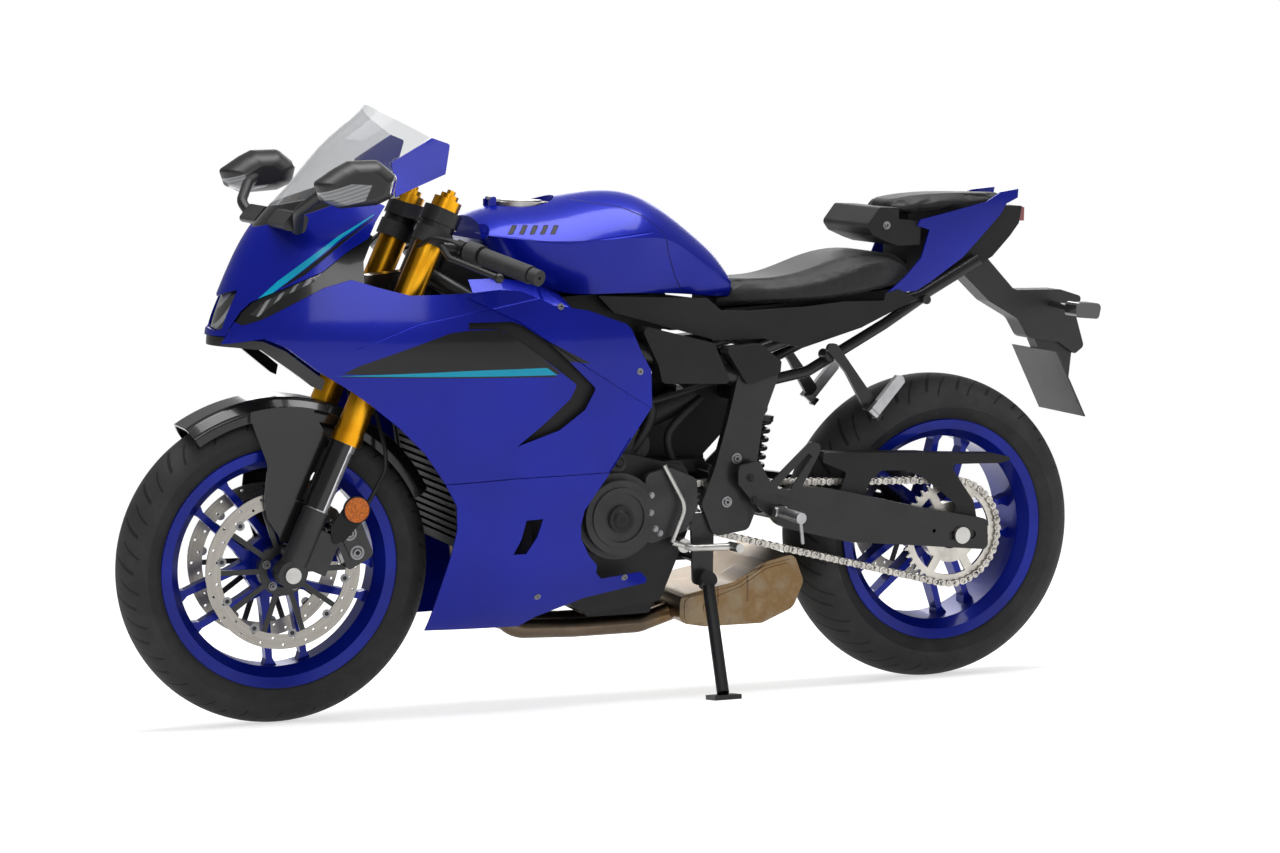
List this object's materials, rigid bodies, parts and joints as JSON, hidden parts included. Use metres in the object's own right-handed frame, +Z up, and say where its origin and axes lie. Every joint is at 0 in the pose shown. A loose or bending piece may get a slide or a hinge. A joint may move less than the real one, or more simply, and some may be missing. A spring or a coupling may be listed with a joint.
{
  "type": "sport motorcycle",
  "caption": "Full-faired sport motorcycle leaning on its side stand, with turning wheels and steering, folding foot pegs and an opening filler lid.",
  "frame": {"origin": "on the ground under the middle of the leaned motorcycle's bounding box", "axes": "+X forward along the motorcycle, +Y to its left, the side it leans to, +Z up"},
  "size_m": [2.0451, 0.7268, 1.152],
  "materials": {
    "frame_black": "satin black paint",
    "engine_black": "satin black engine paint",
    "cover_grey": "dark grey engine paint",
    "radiator_black": "black aluminium core",
    "exhaust_steel": "heat-tinted steel",
    "bare_steel": "zinc-plated steel",
    "chain_steel": "bright steel",
    "black_plastic": "grained black plastic",
    "spring_black": "black spring and damper",
    "blue_paint": "gloss metallic blue",
    "seat_cover": "black grained vinyl",
    "lamp_red": "red and black lamp plastic",
    "lamp_lens": "clear lamp over dark bezel",
    "clear_screen": "clear acrylic",
    "gold_alloy": "gold anodised",
    "chrome": "hard chrome",
    "grip_black": "black rubber and alloy",
    "caliper_black": "black caliper",
    "blue_wheel": "gloss dark blue",
    "tyre": "black tyre rubber",
    "disc_steel": "brushed steel",
    "peg_alloy": "cast alloy",
    "amber_reflector": "amber reflector on a black bracket",
    "hose_black": "black rubber hose"
  },
  "bodies": {
    "chassis": {"frame": "frame_black", "subframe": "frame_black", "engine": "engine_black", "engine_covers": "cover_grey", "radiator": "radiator_black", "exhaust": "exhaust_steel", "swingarm": "frame_black", "rear_axle": "bare_steel", "chain": "chain_steel", "drive_sprocket": "bare_steel", "chain_guard": "black_plastic", "shock_absorber": "spring_black", "fuel_tank": "blue_paint", "rider_seat": "seat_cover", "pillion_seat": "seat_cover", "tail_panels": "blue_paint", "under_tail": "black_plastic", "plate_holder": "black_plastic", "rear_lights": "lamp_red", "windscreen": "clear_screen", "nose_cowl": "blue_paint", "nose_trim": "black_plastic", "headlamps": "lamp_lens", "side_fairings": "blue_paint", "lower_fairings": "blue_paint", "fairing_inners": "black_plastic", "instrument_panel": "black_plastic", "mirrors": "black_plastic", "side_covers": "black_plastic", "foot_hangers": "frame_black", "pedals": "bare_steel", "rear_caliper": "caliper_black", "intake": "black_plastic", "under_seat_tray": "black_plastic"},
    "steering": {"fork_tubes": "gold_alloy", "fork_legs": "chrome", "triple_clamps": "frame_black", "handlebars": "grip_black", "levers": "frame_black", "front_fender": "black_plastic", "front_calipers": "caliper_black", "front_axle": "bare_steel", "side_reflectors": "amber_reflector", "brake_hoses": "hose_black"},
    "front_wheel": {"front_rim": "blue_wheel", "front_tyre": "tyre", "front_discs": "disc_steel"},
    "rear_wheel": {"rear_rim": "blue_wheel", "rear_tyre": "tyre", "rear_sprocket": "chain_steel", "rear_disc": "disc_steel"},
    "stand": {"side_stand": "frame_black"},
    "filler_lid": {"fuel_cap": "bare_steel"},
    "left_rider_peg": {"rider_peg_left": "peg_alloy"},
    "right_rider_peg": {"rider_peg_right": "peg_alloy"},
    "left_passenger_peg": {"passenger_peg_left": "peg_alloy"},
    "right_passenger_peg": {"passenger_peg_right": "peg_alloy"}
  },
  "joints": [
    {"name": "steering_turn", "type": "hinge", "parent": "chassis", "child": "steering", "pos_m": [0.46161, -0.02336, 0.78855], "axis": [-0.4035, 0.1431, 0.9037], "range_deg": [-27, 27]},
    {"name": "front_wheel_spin", "type": "hinge", "parent": "steering", "child": "front_wheel", "pos_m": [0.723, -0.10107, 0.2979], "axis": [0, 0.9877, -0.1564], "continuous": true},
    {"name": "rear_wheel_spin", "type": "hinge", "parent": "chassis", "child": "rear_wheel", "pos_m": [-0.672, -0.09872, 0.31272], "axis": [0, 0.9877, -0.1564], "continuous": true},
    {"name": "side_stand_fold", "type": "hinge", "parent": "chassis", "child": "stand", "pos_m": [-0.112, 0.03432, 0.22584], "axis": [0, 0.9039, 0.4278], "range_deg": [0, 88]},
    {"name": "filler_lid_open", "type": "hinge", "parent": "chassis", "child": "filler_lid", "pos_m": [0.295, 0.00656, 0.97743], "axis": [0, 0.9877, -0.1564], "range_deg": [0, 80]},
    {"name": "left_rider_peg_fold", "type": "hinge", "parent": "chassis", "child": "left_rider_peg", "pos_m": [-0.252, 0.08225, 0.35392], "axis": [1, 0, 0], "range_deg": [0, 60]},
    {"name": "right_rider_peg_fold", "type": "hinge", "parent": "chassis", "child": "right_rider_peg", "pos_m": [-0.252, -0.25811, 0.40782], "axis": [-1, 0, 0], "range_deg": [0, 60]},
    {"name": "left_passenger_peg_fold", "type": "hinge", "parent": "chassis", "child": "left_passenger_peg", "pos_m": [-0.468, 0.08339, 0.54205], "axis": [-0.7547, -0.1026, -0.648], "range_deg": [0, 90]},
    {"name": "right_passenger_peg_fold", "type": "hinge", "parent": "chassis", "child": "right_passenger_peg", "pos_m": [-0.468, -0.20106, 0.58711], "axis": [0.7547, 0.1026, 0.648], "range_deg": [0, 90]}
  ]
}
